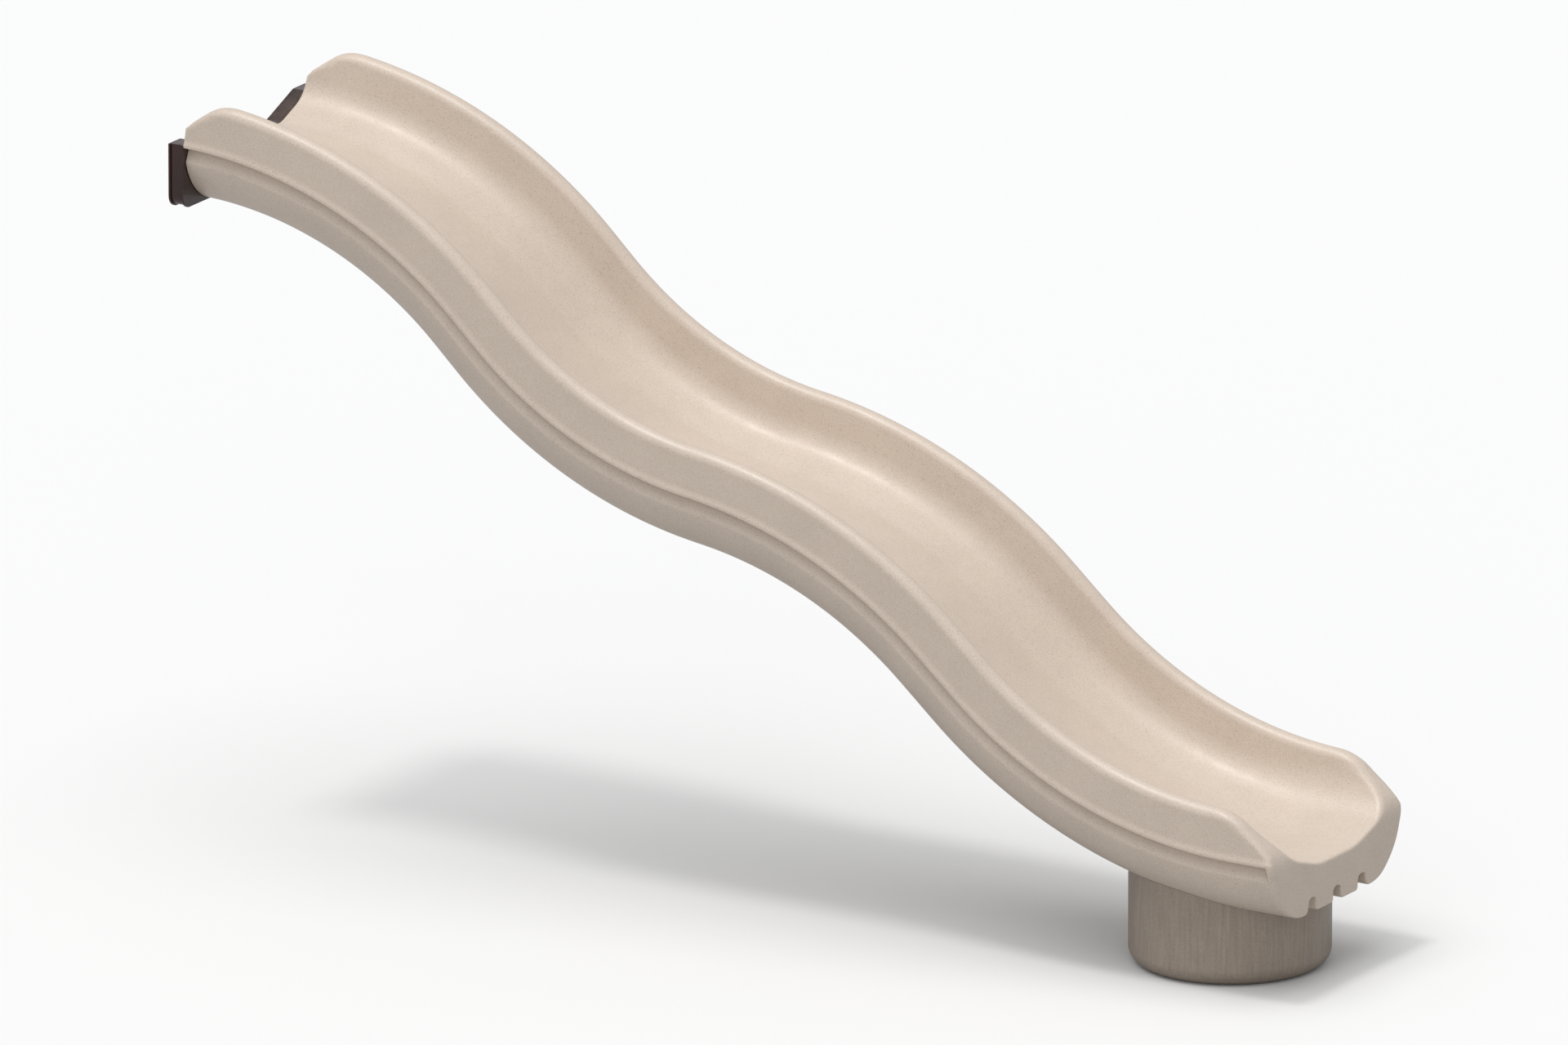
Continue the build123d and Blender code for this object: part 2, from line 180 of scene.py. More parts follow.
half_width = chute_high.y / mm
rim_y, rim_z = 260.5, 155
lip_z = 40
lip_flare = 3.5
recess_y = half_width - 27
recess_z = 4
belly_y, belly_radius = 152, 150
belly_z = belly_radius - belly_depth
ledge_y = belly_y + sqrt(belly_radius ** 2 - (recess_z - belly_z) ** 2)
groove_y, groove_half, groove_round = 115, 18, 13
groove_top = 35 - belly_depth
longest_stretch = 26


def trough(crease, bank):
    """Half the trough from the middle of the bed over the rim to the lip, with its inner corners rounded."""
    return rounded([
        (0, 0, 0), crease, bank, (rim_y, rim_z, 24),
        (half_width - lip_flare, rim_z, 23), (half_width - lip_flare, lip_z + 17, 30),
        (half_width, lip_z + 7, 12), (half_width, lip_z + 3, 0)], 8)


# The trough is creased along the banks for most of its length and opens into a rounder bowl at the exit
upper_half, lower_half = closer([
    trough((132, 0, 60), (238.2, 41.2, 78)), trough((84, 0, 200), (240, 47, 120))], longest_stretch)
lip_start = len(upper_half) - 1
first_turn = atan2(recess_z - belly_z, ledge_y - belly_y)
belly_steps = 20
belly_turns = [(-pi / 2 - first_turn) * i / belly_steps for i in range(1, belly_steps + 1)]
belly_arc = [
    (belly_y + belly_radius * cos(first_turn + turn), belly_z + belly_radius * sin(first_turn + turn))
    for turn in belly_turns]
lip = rounded([
    (half_width, lip_z + 3, 0), (half_width, lip_z, 2.2), (recess_y, lip_z, 3), (ledge_y, recess_z, 10),
    belly_arc[0] + (0,)], 20)
underside = rounded([
    belly_arc[-1] + (0,), (groove_y + groove_half + 4, -belly_depth, 17),
    (groove_y + groove_half - 3, groove_top, groove_round),
    (groove_y - groove_half + 1, groove_top, groove_round),
    (groove_y - groove_half - 1, -belly_depth, 9), (groove_half + 1, -belly_depth, 9),
    (groove_half - 1, groove_top, groove_round), (0, groove_top, 0)], 15)
lip_line = closer([lip], 8)[0][1:]
below = lip_line + belly_arc[1:] + closer([underside], longest_stretch)[0][1:]
upper_half += below
lower_half += below
lip_end = lip_start + len(lip_line)

# At the exit the finger recess is filled out flush, from the lip straight down to the belly
flush_half = list(lower_half)
lip_point, ledge_point = lower_half[lip_start], lower_half[lip_end]
flush_crown = 1.5
walked = [0.0]
for a, b in zip(lower_half[lip_start:lip_end], lower_half[lip_start + 1:lip_end + 1]):
    walked.append(walked[-1] + hypot(b[0] - a[0], b[1] - a[1]))
for i, distance in enumerate(walked):
    part = distance / walked[-1]
    flush_half[lip_start + i] = (
        lip_point[0] + (ledge_point[0] - lip_point[0]) * part + flush_crown * sin(part * pi),
        lip_point[1] + (ledge_point[1] - lip_point[1]) * part)

upper_section, lower_section, flush_section = (
    half + [(-y, z) for y, z in reversed(half[1:-1])] for half in (upper_half, lower_half, flush_half))
count = len(upper_section)


class End:
    """A bevelled end in the side view: upright to a height, a small rounding, then a slope back up."""

    def __init__(self, face_x, facing, corner_z, bevel, radius):
        self.face_x, self.facing, self.radius = face_x, facing, radius
        self.bevel = radians(bevel)
        self.turn = pi / 2 - self.bevel
        self.centre_out = -radius
        self.centre_z = corner_z - radius * tan(self.turn / 2)

    def past(self, x, z):
        """How far a point stands out past the end."""
        out = (x - self.face_x) * self.facing - self.centre_out
        up = z - self.centre_z
        angle = atan2(up, out)
        if angle <= 0:
            return out - self.radius
        if out > 0 and angle <= self.turn:
            return hypot(out, up) - self.radius
        return out * sin(self.bevel) + up * cos(self.bevel) - self.radius

    def along(self, x, z):
        """Distance up over the end's face, from the start of its rounding."""
        out = (x - self.face_x) * self.facing - self.centre_out
        up = z - self.centre_z
        angle = atan2(up, out)
        if angle <= 0:
            return up
        if out > 0 and angle <= self.turn:
            return self.radius * angle
        return self.radius * self.turn + up * sin(self.bevel) - out * cos(self.bevel)

    def point(self, along):
        """Point of the end's face at a distance up over it."""
        if along <= 0:
            out, up = self.radius, along
        elif along <= self.radius * self.turn:
            out, up = self.radius * cos(along / self.radius), self.radius * sin(along / self.radius)
        else:
            rest = along - self.radius * self.turn
            out = self.radius * sin(self.bevel) - rest * cos(self.bevel)
            up = self.radius * cos(self.bevel) + rest * sin(self.bevel)
        return self.face_x + self.facing * (self.centre_out + out), self.centre_z + up


upper_end = End(upper_end_x, -1, corner_z=bed_start_z + 87, bevel=35, radius=16)
lower_end = End(lower_end_x, 1, corner_z=bed_end_z + 54, bevel=41.5, radius=70)


def meets(end, height):
    """Spot on the bed line where the line at this height above it runs out through an end."""
    reach_in, reach_out = 420, 110
    inside, outside = reach_in, -reach_out
    if end.facing > 0:
        inside, outside = bed_length - reach_in, bed_length + reach_out
    for i in range(40):
        middle = (inside + outside) / 2
        if end.past(*above_bed(middle, height)) < 0:
            inside = middle
        else:
            outside = middle
    return inside


def smooth(value):
    """Soft step from 0 to 1."""
    value = min(max(value, 0), 1)
    return value * value * (3 - 2 * value)


def outward(points):
    """Direction out of the plastic at each point of a closed section, over a few millimetres each way."""
    least_reach = 7
    directions = []
    for i, (y, z) in enumerate(points):
        ends = []
        for way in (-1, 1):
            j = (i + way) % len(points)
            while hypot(points[j][0] - y, points[j][1] - z) < least_reach:
                j = (j + way) % len(points)
            ends.append(points[j])
        (ay, az), (by, bz) = ends
        length = hypot(by - ay, bz - az)
        directions.append((-(bz - az) / length, (by - ay) / length))
    return directions


def edge_rounding(shape, base, belly, bed, wall, skirt, crest):
    """How far each line of the section stops short of an end, and how far in the end's flat face starts."""
    # The rounding changes over soft bands: out to the belly's corner, from the bed up the banks and the
    # walls, over the skirt, and up to the crest of the rim, where the plastic is rolled back most
    back, side_in, up_in = [], [], []
    for (y, z), (side, up) in zip(shape, outward(shape)):
        trough_part = smooth((z + 6) / 6) * smooth((half_width - 22 - abs(y)) / 10)
        skirt_part = smooth((z - lip_z - 2) / 40) * smooth((abs(y) - half_width + 30) / 20)
        small = base + (belly - base) * smooth((abs(y) - 190) / 70)
        small += (bed - small) * trough_part
        small += (wall - small) * trough_part * smooth((z - 20) / 70)
        small += (skirt - small) * skirt_part
        rolled = (crest - small) * smooth((z - 78) / 77)
        back.append(small + rolled)
        side_in.append(side * small)
        up_in.append(up * small + rolled)
    return back, side_in, up_in


def bowl(spot):
    """How far the trough has opened into its bowl."""
    bowl_start, bowl_run = 560, 460
    return smooth((spot - bed_length + bowl_start) / bowl_run)


def ring(spots, lower_shape):
    """One ring of points round the chute, with each of its lines at its own spot."""
    points = []
    for spot, (upper_y, upper_z), (lower_y, lower_z) in zip(spots, upper_section, lower_shape):
        part = bowl(spot)
        height = upper_z + (lower_z - upper_z) * part
        x, z = above_bed(spot, height)
        points.append((x, upper_y + (lower_y - upper_y) * part, z))
    return points


def end_rings(end, shape, rounding, common):
    """Rings from the common stations out to an end and over its rounded edge, and the end face's outline."""
    back, side_in, up_in = rounding
    spots = [meets(end, z) for y, z in shape]
    made = []
    steps = 16
    recess_stop, recess_gone = 4.5, 3.0
    for i in range(1, steps + 1):
        part = i / steps
        stops = [common + (spot - end.facing * (short + recess_stop) - common) * part
                 for spot, short in zip(spots, back)]
        made.append(ring(stops, lower_section))
    made.append(ring([spot - end.facing * (short + recess_gone) for spot, short in zip(spots, back)], shape))
    made.append(ring([spot - end.facing * short for spot, short in zip(spots, back)], shape))
    edge = [(y, end.along(*above_bed(spot, z))) for spot, (y, z) in zip(spots, shape)]
    outline = [(y - across, along - upward) for (y, along), across, upward in zip(edge, side_in, up_in)]
    starts = made[-1]
    over = 7
    for i in range(1, over + 1):
        part = i / over
        points = []
        for start, (corner_y, corner_along), (last_y, last_along) in zip(starts, edge, outline):
            x, z = end.point(corner_along)
            corner = Vector((x, corner_y, z))
            x, z = end.point(last_along)
            last = Vector((x, last_y, z))
            rest = 1 - part
            points.append(Vector(start) * rest ** 2 + corner * 2 * part * rest + last * part ** 2)
        made.append(points)
    return made, outline


def inside(y, along, outline):
    """Whether a point is inside a closed outline."""
    found = False
    for (ay, az), (by, bz) in zip(outline, outline[1:] + outline[:1]):
        if (az > along) != (bz > along) and y < ay + (by - ay) * (along - az) / (bz - az):
            found = not found
    return found


def clear_of(y, along, outline, gap):
    """Whether a point keeps a gap to every corner of an outline."""
    return all((y - ay) ** 2 + (along - az) ** 2 > gap * gap for ay, az in outline)


def cover(mesh, loop, end, outline):
    """Closes an end with small flat faces that follow its upright face, its rounding and its slope."""
    heights = [along for y, along in outline]
    bend = end.radius * end.turn
    pitch, edge_gap, columns, row_count = 14, 10, 22, 40
    off_middle, outline_gap = 0.3, 6
    rows = [bend * i / 4 for i in range(5)]
    rows += [-edge_gap - pitch * i for i in range(row_count)]
    rows += [bend + edge_gap + pitch * i for i in range(row_count)]
    inner = []
    for row in rows:
        if not min(heights) < row < max(heights):
            continue
        for i in range(-columns, columns + 1):
            y = i * pitch + off_middle
            if inside(y, row, outline) and clear_of(y, row, outline, outline_gap):
                inner.append((y, row))
    flat = [Vector(point) for point in outline + inner]
    rim = [(i, (i + 1) % len(outline)) for i in range(len(outline))]
    made = delaunay_2d_cdt(flat, rim, [], 0, 1e-4, True)
    points, faces, sources = made[0], made[2], made[3]
    corners = []
    for point, source in zip(points, sources):
        first = source[0] if source else -1
        if 0 <= first < len(loop):
            corners.append(loop[first])
        else:
            x, up = end.point(point[1])
            corners.append(mesh.verts.new(Vector((x, point[0], up)) * mm))
    for face in faces:
        middle = sum((points[i] for i in face), Vector((0, 0))) / 3
        if inside(middle.x, middle.y, outline):
            mesh.faces.new([corners[i] for i in face])


upper_rounding = edge_rounding(upper_section, base=4, belly=4, bed=5, wall=10, skirt=12, crest=40)
lower_rounding = edge_rounding(flush_section, base=4, belly=13, bed=9, wall=18, skirt=18, crest=52)
upper_starts = [meets(upper_end, z) + back for (y, z), back in zip(upper_section, upper_rounding[0])]
lower_starts = [meets(lower_end, z) - back for (y, z), back in zip(flush_section, lower_rounding[0])]
end_run = 30
first_common = max(upper_starts) + end_run
last_common = min(lower_starts) - end_run
mesh = bmesh.new()
upper_rings, upper_outline = end_rings(upper_end, upper_section, upper_rounding, first_common)
lower_rings, lower_outline = end_rings(lower_end, flush_section, lower_rounding, last_common)
least_gap = 8
stations = [spot for spot, x, z, fall in bed_line(station_step)
            if first_common + least_gap < spot < last_common - least_gap]
rings = list(reversed(upper_rings))
rings += [ring([spot] * count, lower_section) for spot in [first_common] + stations + [last_common]]
rings += lower_rings
loops = [[mesh.verts.new(Vector(point) * mm) for point in points] for points in rings]
for a, b in zip(loops, loops[1:]):
    for i in range(count):
        j = (i + 1) % count
        mesh.faces.new((a[i], a[j], b[j], b[i]))
cover(mesh, loops[0], upper_end, upper_outline)
cover(mesh, loops[-1], lower_end, lower_outline)
bmesh.ops.recalc_face_normals(mesh, faces=mesh.faces)


def finish_mesh(mesh, name):
    """Turns a built mesh into a smooth-shaded object whose flat faces stay flat in the light."""
    data = bpy.data.meshes.new(name)
    mesh.to_mesh(data)
    mesh.free()
    data.shade_smooth()
    piece = bpy.data.objects.new(name, data)
    bpy.context.scene.collection.objects.link(piece)
    weighted = piece.modifiers.new("even_light", "WEIGHTED_NORMAL")
    weighted.weight = 60
    return piece


chute_shell = finish_mesh(mesh, "chute_shell")


def wire(tree, made, sockets):
    """Sets a node's sockets, or wires them, by name or number."""
    for name, value in sockets.items():
        if isinstance(value, bpy.types.NodeSocket):
            tree.links.new(value, made.inputs[name])
        else:
            made.inputs[name].default_value = value


def shader(tree, kind, sockets=None, **settings):
    """One shader node with its settings and its sockets."""
    made = tree.nodes.new("ShaderNode" + kind)
    for name, value in settings.items():
        setattr(made, name, value)
    wire(tree, made, sockets or {})
    return made


def mixed(tree, part, below, above):
    """One colour laid over another by a part."""
    made = shader(tree, "Mix", data_type="RGBA")
    wire(tree, made, {"Factor": part, 6: below, 7: above})
    return made.outputs[2]


def effect(name, takes, gives):
    """An empty shader group with named inputs and outputs, and its input and output nodes."""
    tree = bpy.data.node_groups.new(name, "ShaderNodeTree")
    for socket, value in takes.items():
        kind = "NodeSocketColor" if isinstance(value, tuple) else "NodeSocketFloat"
        made = tree.interface.new_socket(socket, in_out="INPUT", socket_type=kind)
        made.default_value = value
    for socket in gives:
        kind = "NodeSocketFloat"
        if socket.endswith("colour"):
            kind = "NodeSocketColor"
        elif socket.endswith("normal"):
            kind = "NodeSocketVector"
        tree.interface.new_socket(socket, in_out="OUTPUT", socket_type=kind)
    return tree, tree.nodes.new("NodeGroupInput").outputs, tree.nodes.new("NodeGroupOutput").inputs


def use(tree, group, sockets):
    """Places an effect in a material."""
    made = tree.nodes.new("ShaderNodeGroup")
    made.node_tree = group
    wire(tree, made, sockets)
    return made.outputs


def paint(red, green, blue):
    """A colour given in the 0 to 255 scale of a paint chart."""
    return tuple((value / 255) ** 2.2 for value in (red, green, blue)) + (1.0,)


# The moulded skin: powder of several tans melts into fine flecks over a slightly uneven ground, and the
# mould leaves a faint orange peel and long shallow waves in the surface
moulded_skin, taken, given = effect(
    "moulded_skin",
    {"Ground": paint(200, 180, 160), "Dark fleck": paint(120, 100, 85), "Pale fleck": paint(240, 228, 210),
     "Fleck amount": 0.5, "Mottle": 0.06, "Roughness": 0.4, "Peel": 0.05, "Waves": 0.03},
    ["Skin colour", "Skin roughness", "Skin normal"])
tree = moulded_skin
place = shader(tree, "TexCoord").outputs["Object"]
mottle = shader(tree, "TexNoise", {"Vector": place, "Scale": 9, "Detail": 5, "Roughness": 0.6})
mottle_range = shader(tree, "MapRange", {"Value": mottle.outputs["Fac"], "From Min": 0.3, "From Max": 0.7,
                                         "To Min": -1.0, "To Max": 1.0})
mottle_amount = shader(tree, "Math", {0: mottle_range.outputs[0], 1: taken["Mottle"]}, operation="MULTIPLY")
mottle_gain = shader(tree, "Math", {0: mottle_amount.outputs[0], 1: 1.0}, operation="ADD")
ground = shader(tree, "VectorMath", {0: taken["Ground"], "Scale": mottle_gain.outputs[0]}, operation="SCALE")
dark_noise = shader(tree, "TexNoise", {"Vector": place, "Scale": 420, "Detail": 2, "Roughness": 0.55})
dark_mask = shader(tree, "MapRange", {"Value": dark_noise.outputs["Fac"], "From Min": 0.56, "From Max": 0.68,
                                      "To Max": 1.0})
dark_part = shader(tree, "Math", {0: dark_mask.outputs[0], 1: taken["Fleck amount"]}, operation="MULTIPLY")
dark_skin = mixed(tree, dark_part.outputs[0], ground.outputs[0], taken["Dark fleck"])
shifted = shader(tree, "VectorMath", {0: place, 1: (3.1, 1.7, 5.3)}, operation="ADD")
pale_noise = shader(tree, "TexNoise", {"Vector": shifted.outputs[0], "Scale": 560, "Detail": 2,
                                       "Roughness": 0.5})
pale_mask = shader(tree, "MapRange", {"Value": pale_noise.outputs["Fac"], "From Min": 0.58, "From Max": 0.7,
                                      "To Max": 1.0})
pale_part = shader(tree, "Math", {0: pale_mask.outputs[0], 1: taken["Fleck amount"]}, operation="MULTIPLY")
flecked_skin = mixed(tree, pale_part.outputs[0], dark_skin, taken["Pale fleck"])
tree.links.new(flecked_skin, given["Skin colour"])
gloss_noise = shader(tree, "TexNoise", {"Vector": place, "Scale": 16, "Detail": 6, "Roughness": 0.65})
gloss_range = shader(tree, "MapRange", {"Value": gloss_noise.outputs["Fac"], "From Min": 0.3, "From Max": 0.7,
                                        "To Min": 0.86, "To Max": 1.16})
gloss = shader(tree, "Math", {0: gloss_range.outputs[0], 1: taken["Roughness"]}, operation="MULTIPLY")
tree.links.new(gloss.outputs[0], given["Skin roughness"])
peel_noise = shader(tree, "TexNoise", {"Vector": place, "Scale": 190, "Detail": 3, "Roughness": 0.5})
peel_bump = shader(tree, "Bump", {"Height": peel_noise.outputs["Fac"], "Strength": taken["Peel"],
                                  "Distance": 0.002})
wave_noise = shader(tree, "TexNoise", {"Vector": place, "Scale": 7, "Detail": 2, "Roughness": 0.4})
wave_bump = shader(tree, "Bump", {"Height": wave_noise.outputs["Fac"], "Strength": taken["Waves"],
                                  "Distance": 0.03, "Normal": peel_bump.outputs[0]})
tree.links.new(wave_bump.outputs[0], given["Skin normal"])

# Dust that settles in drifts on whatever faces up
weathering, taken, given = effect(
    "weathering", {"Colour": paint(200, 180, 160), "Dust": paint(222, 212, 196), "Amount": 0.1},
    ["Weathered colour"])
tree = weathering
facing = shader(tree, "NewGeometry").outputs["Normal"]
upward = shader(tree, "SeparateXYZ", {0: facing}).outputs[2]
level = shader(tree, "MapRange", {"Value": upward, "From Min": 0.2, "From Max": 1.0, "To Max": 1.0})
place = shader(tree, "TexCoord").outputs["Object"]
drift = shader(tree, "TexNoise", {"Vector": place, "Scale": 24, "Detail": 7, "Roughness": 0.7})
drift_mask = shader(tree, "MapRange", {"Value": drift.outputs["Fac"], "From Min": 0.35, "From Max": 0.75,
                                       "To Max": 1.0})
lying = shader(tree, "Math", {0: level.outputs[0], 1: drift_mask.outputs[0]}, operation="MULTIPLY")
amount = shader(tree, "Math", {0: lying.outputs[0], 1: taken["Amount"]}, operation="MULTIPLY")
dusted = mixed(tree, amount.outputs[0], taken["Colour"], taken["Dust"])
tree.links.new(dusted, given["Weathered colour"])


def material(name):
    """A new material with its tree and its empty shader."""
    made = bpy.data.materials.new(name)
    made.use_nodes = True
    return made, made.node_tree, made.node_tree.nodes["Principled BSDF"]


def wire_surface(tree, surface, colour, rough, normal):
    """Wires a material's colour, roughness and surface relief."""
    tree.links.new(colour, surface.inputs["Base Color"])
    tree.links.new(rough, surface.inputs["Roughness"])
    tree.links.new(normal, surface.inputs["Normal"])


granite_tan, tree, surface = material("granite_tan_polyethylene")
skin = use(tree, moulded_skin, {
    "Ground": paint(212, 196, 181), "Dark fleck": paint(150, 132, 116), "Pale fleck": paint(240, 230, 217),
    "Fleck amount": 0.55, "Mottle": 0.035, "Roughness": 0.36, "Peel": 0.05, "Waves": 0.035})
weather = use(tree, weathering, {
    "Colour": skin["Skin colour"], "Dust": paint(226, 214, 200), "Amount": 0.14})
wire_surface(tree, surface, weather["Weathered colour"], skin["Skin roughness"], skin["Skin normal"])
surface.inputs["IOR"].default_value = 1.51
chute_shell.data.materials.append(granite_tan)
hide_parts("chute")
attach(chute_shell, "root")


# Threaded inserts: turned brass, moulded into the chute's upper end face and into its belly over the
# foot drum, where the bolts go in. Each one sits flush with the plastic round it.
brass, tree, surface = material("turned_brass")
place = shader(tree, "TexCoord").outputs["Object"]
brass_noise = shader(tree, "TexNoise", {"Vector": place, "Scale": 900, "Detail": 3, "Roughness": 0.5})
brass_tone = shader(tree, "ValToRGB", {"Fac": brass_noise.outputs["Fac"]})
brass_tone.color_ramp.elements[0].color = paint(168, 128, 62)
brass_tone.color_ramp.elements[1].color = paint(214, 178, 104)
brass_rough = shader(tree, "MapRange", {"Value": brass_noise.outputs["Fac"], "To Min": 0.22, "To Max": 0.42})
brass_bump = shader(tree, "Bump", {
    "Height": brass_noise.outputs["Fac"], "Strength": 0.12, "Distance": 0.0004})
wire_surface(tree, surface, brass_tone.outputs[0], brass_rough.outputs[0], brass_bump.outputs[0])
surface.inputs["Metallic"].default_value = 1.0


def dress(nodes, finish):
    """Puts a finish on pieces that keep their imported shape."""
    for name in nodes:
        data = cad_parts[name].data
        data.materials.clear()
        data.materials.append(finish)


dress(["entry_inserts", "foot_inserts"], brass)


# Vent plugs: grey-tan plastic caps pressed into the two mould vents under the chute. They close the
# holes that let the air out of the mould.
plug_plastic, tree, surface = material("plug_plastic")
skin = use(tree, moulded_skin, {
    "Ground": paint(128, 116, 104), "Dark fleck": paint(98, 88, 78), "Pale fleck": paint(150, 138, 126),
    "Fleck amount": 0.25, "Mottle": 0.05, "Roughness": 0.5, "Peel": 0.08, "Waves": 0.02})
wire_surface(tree, surface, skin["Skin colour"], skin["Skin roughness"], skin["Skin normal"])
dress(["vent_plugs"], plug_plastic)


# Deck bracket: two laser-cut plates joined by a bent sill, a cheek each side and two ribs, all welded
# and powder coated in gloss brown. The coat rounds every edge and shows a fine orange peel.
brown_coat, tree, surface = material("brown_powder_coat")
place = shader(tree, "TexCoord").outputs["Object"]
coat_noise = shader(tree, "TexNoise", {"Vector": place, "Scale": 260, "Detail": 3, "Roughness": 0.5})
tone_noise = shader(tree, "TexNoise", {"Vector": place, "Scale": 14, "Detail": 5, "Roughness": 0.6})
coat_tone = shader(tree, "ValToRGB", {"Fac": tone_noise.outputs["Fac"]})
coat_tone.color_ramp.elements[0].position = 0.3
coat_tone.color_ramp.elements[0].color = paint(42, 22, 18)
coat_tone.color_ramp.elements[1].position = 0.7
coat_tone.color_ramp.elements[1].color = paint(56, 30, 25)
coat_rough = shader(tree, "MapRange", {"Value": tone_noise.outputs["Fac"], "From Min": 0.3, "From Max": 0.7,
                                       "To Min": 0.2, "To Max": 0.31})
coat_bump = shader(tree, "Bump", {"Height": coat_noise.outputs["Fac"], "Strength": 0.1, "Distance": 0.001})
weather = use(tree, weathering, {
    "Colour": coat_tone.outputs[0], "Dust": paint(150, 138, 122), "Amount": 0.18})
wire_surface(tree, surface, weather["Weathered colour"], coat_rough.outputs[0], coat_bump.outputs[0])
surface.inputs["Coat Weight"].default_value = 0.35
surface.inputs["Coat Roughness"].default_value = 0.12


def eased(node, width, finish):
    """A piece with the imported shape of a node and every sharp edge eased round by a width."""
    mesh = bmesh.new()
    mesh.from_mesh(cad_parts[node].data)
    bmesh.ops.remove_doubles(mesh, verts=mesh.verts, dist=1e-6)
    bmesh.ops.dissolve_limit(mesh, angle_limit=radians(0.5), verts=mesh.verts, edges=mesh.edges,
                             delimit={"NORMAL"})
    sharp = [edge for edge in mesh.edges
             if len(edge.link_faces) == 2 and edge.calc_face_angle(0) > radians(50)]
    bmesh.ops.bevel(mesh, geom=sharp, offset=width * mm, segments=2, profile=0.5, affect="EDGES",
                    clamp_overlap=True)
    bmesh.ops.triangulate(mesh, faces=[face for face in mesh.faces if len(face.verts) > 4])
    piece = finish_mesh(mesh, node + "_finished")
    piece.data.materials.append(finish)
    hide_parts(node)
    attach(piece, "root")


for node in ("deck_plate", "chute_plate", "sill_sheet", "cheek_left", "cheek_right", "rib_left", "rib_right"):
    eased(node, 0.7, brown_coat)


# Bolts, washers and screws: zinc-plated steel. The entry bolts clamp the bracket to the chute, the foot
# bolts come up from inside the drum, and the screws hold the anchor ring.
zinc, tree, surface = material("zinc_plate")
place = shader(tree, "TexCoord").outputs["Object"]
zinc_noise = shader(tree, "TexNoise", {"Vector": place, "Scale": 120, "Detail": 6, "Roughness": 0.6})
zinc_tone = shader(tree, "ValToRGB", {"Fac": zinc_noise.outputs["Fac"]})
zinc_tone.color_ramp.elements[0].position = 0.3
zinc_tone.color_ramp.elements[0].color = paint(156, 160, 164)
zinc_tone.color_ramp.elements[1].position = 0.7
zinc_tone.color_ramp.elements[1].color = paint(206, 208, 208)
zinc_rough = shader(tree, "MapRange", {"Value": zinc_noise.outputs["Fac"], "From Min": 0.3, "From Max": 0.7,
                                       "To Min": 0.28, "To Max": 0.48})
zinc_bump = shader(tree, "Bump", {"Height": zinc_noise.outputs["Fac"], "Strength": 0.1, "Distance": 0.0006})
wire_surface(tree, surface, zinc_tone.outputs[0], zinc_rough.outputs[0], zinc_bump.outputs[0])
surface.inputs["Metallic"].default_value = 1.0
dress(["entry_bolts", "entry_washers", "foot_bolts", "foot_washers", "ring_screws"], zinc)


# Foot drum: rotationally moulded polyethylene in a darker tan, with its top shaped to the chute's belly
# and its rounded base let into the ground. Fine upright streaks come from the mould's rolled wall.
drum_tan, tree, surface = material("drum_polyethylene")
skin = use(tree, moulded_skin, {
    "Ground": paint(158, 145, 132), "Dark fleck": paint(108, 95, 84), "Pale fleck": paint(196, 184, 170),
    "Fleck amount": 0.45, "Mottle": 0.05, "Roughness": 0.36, "Peel": 0.06, "Waves": 0.03})
place = shader(tree, "TexCoord").outputs["Object"]
stretched = shader(tree, "Mapping", {"Vector": place, "Scale": (1.0, 1.0, 0.06)})
streak_noise = shader(tree, "TexNoise", {"Vector": stretched.outputs[0], "Scale": 150, "Detail": 4,
                                         "Roughness": 0.6})
streak = shader(tree, "MapRange", {"Value": streak_noise.outputs["Fac"], "From Min": 0.35, "From Max": 0.65,
                                   "To Min": 0.9, "To Max": 1.08})
streaked = shader(tree, "VectorMath", {0: skin["Skin colour"], "Scale": streak.outputs[0]}, operation="SCALE")
wire_surface(tree, surface, streaked.outputs[0], skin["Skin roughness"], skin["Skin normal"])
surface.inputs["IOR"].default_value = 1.51
eased("foot_drum", 2.0, drum_tan)


# Saddle strips and anchor ring: galvanised steel flats inside the drum. The strips spread the load of
# the foot bolts, and the ring takes the ground anchors.
galvanised, tree, surface = material("galvanised_steel")
place = shader(tree, "TexCoord").outputs["Object"]
spangle = shader(tree, "TexVoronoi", {"Vector": place, "Scale": 110}, feature="F1")
spangle_tone = shader(tree, "ValToRGB", {"Fac": spangle.outputs["Color"]})
spangle_tone.color_ramp.elements[0].color = paint(136, 141, 145)
spangle_tone.color_ramp.elements[1].color = paint(186, 190, 192)
spangle_rough = shader(tree, "MapRange", {"Value": spangle.outputs["Color"], "To Min": 0.35, "To Max": 0.55})
grime = shader(tree, "TexNoise", {"Vector": place, "Scale": 60, "Detail": 6, "Roughness": 0.6})
spangle_bump = shader(tree, "Bump", {"Height": grime.outputs["Fac"], "Strength": 0.12, "Distance": 0.001})
wire_surface(tree, surface, spangle_tone.outputs[0], spangle_rough.outputs[0], spangle_bump.outputs[0])
surface.inputs["Metallic"].default_value = 0.9
for node in ("saddle_strip_left", "saddle_strip_right", "anchor_ring"):
    eased(node, 0.6, galvanised)


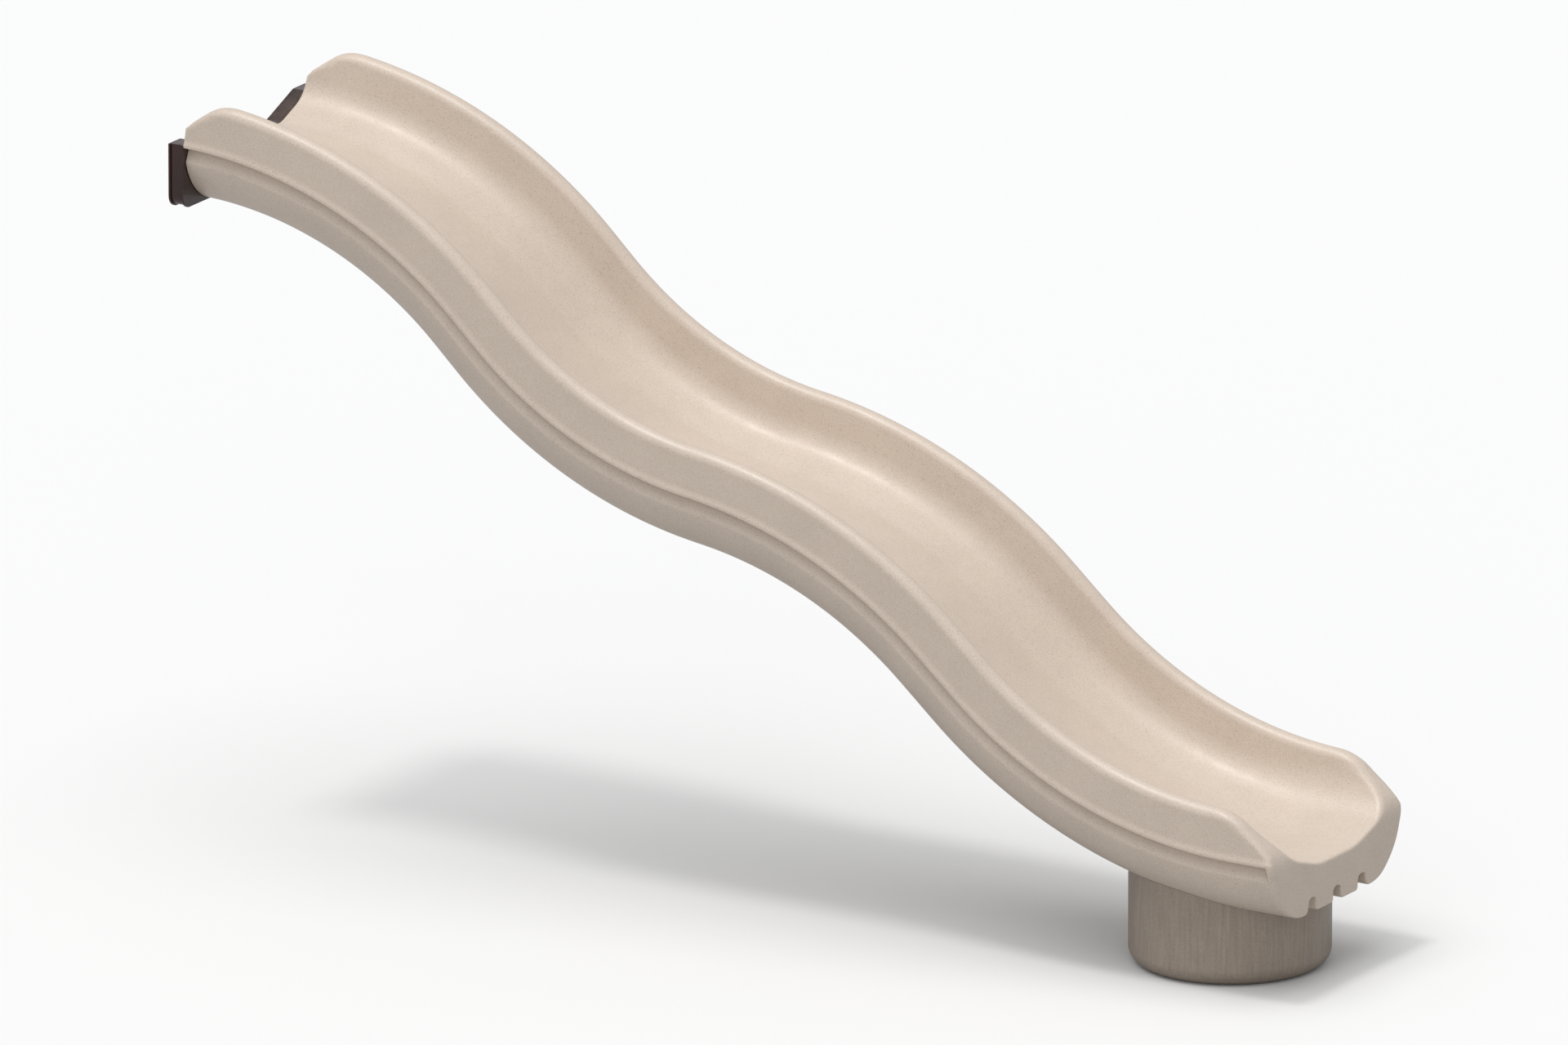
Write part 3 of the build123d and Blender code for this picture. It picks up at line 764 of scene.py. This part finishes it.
# Studio: a plain pale floor and a pale room. A wide soft light and a narrow one stand high over the
# chute, and a weak wide one fills its near side from lower down.
floor_mesh = bmesh.new()
bmesh.ops.create_grid(floor_mesh, x_segments=8, y_segments=8, size=40)
floor_data = bpy.data.meshes.new("studio_floor")
floor_mesh.to_mesh(floor_data)
floor_mesh.free()
floor = bpy.data.objects.new("studio_floor", floor_data)
bpy.context.scene.collection.objects.link(floor)
floor_paint, tree, surface = material("studio_floor_paint")
seen = shader(tree, "LightPath").outputs["Is Camera Ray"]
floor_tone = shader(tree, "Mix", data_type="RGBA")
tree.links.new(seen, floor_tone.inputs["Factor"])
floor_tone.inputs[6].default_value = (0.46, 0.46, 0.46, 1)
floor_tone.inputs[7].default_value = (0.87, 0.87, 0.87, 1)
tree.links.new(floor_tone.outputs[2], surface.inputs["Base Color"])
surface.inputs["Roughness"].default_value = 0.9
floor.data.materials.append(floor_paint)
floor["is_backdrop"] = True

world = bpy.data.worlds.new("studio_room")
bpy.context.scene.world = world
world.use_nodes = True
world.node_tree.nodes["Background"].inputs["Color"].default_value = (0.96, 0.98, 1.0, 1)
world.node_tree.nodes["Background"].inputs["Strength"].default_value = 0.5

for name, toward, strength, spread in (
        ("key_light", (-0.1, -0.17, 0.98), 1.3, 56),
        ("edge_light", (-0.14, -0.2, 0.97), 0.62, 9),
        ("fill_light", (0.3, -0.85, 0.36), 0.4, 50)):
    lamp = bpy.data.lights.new(name, "SUN")
    lamp.energy = strength
    lamp.angle = radians(spread)
    lamp.color = (1.0, 0.99, 0.975)
    light = bpy.data.objects.new(name, lamp)
    light.rotation_euler = Vector(toward).to_track_quat("Z", "Y").to_euler()
    bpy.context.scene.collection.objects.link(light)

low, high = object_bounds()
aim = Vector(((low.x + high.x) / 2, (low.y + high.y) / 2, (low.z + high.z) / 2))
azimuth, elevation = radians(30), radians(15.72)
toward = Vector((sin(azimuth) * cos(elevation), -cos(azimuth) * cos(elevation), sin(elevation)))
lens = bpy.data.cameras.new("long_lens")
lens.lens = 900
lens.clip_end = 400
lens.clip_start = 1
camera = bpy.data.objects.new("long_lens", lens)
view_width = 3.6
camera.location = aim + toward * (view_width * lens.lens / lens.sensor_width)
camera.rotation_euler = (-toward).to_track_quat("-Z", "Y").to_euler()
bpy.context.scene.collection.objects.link(camera)
bpy.context.scene.camera = camera
bpy.context.scene.view_settings.view_transform = "Standard"
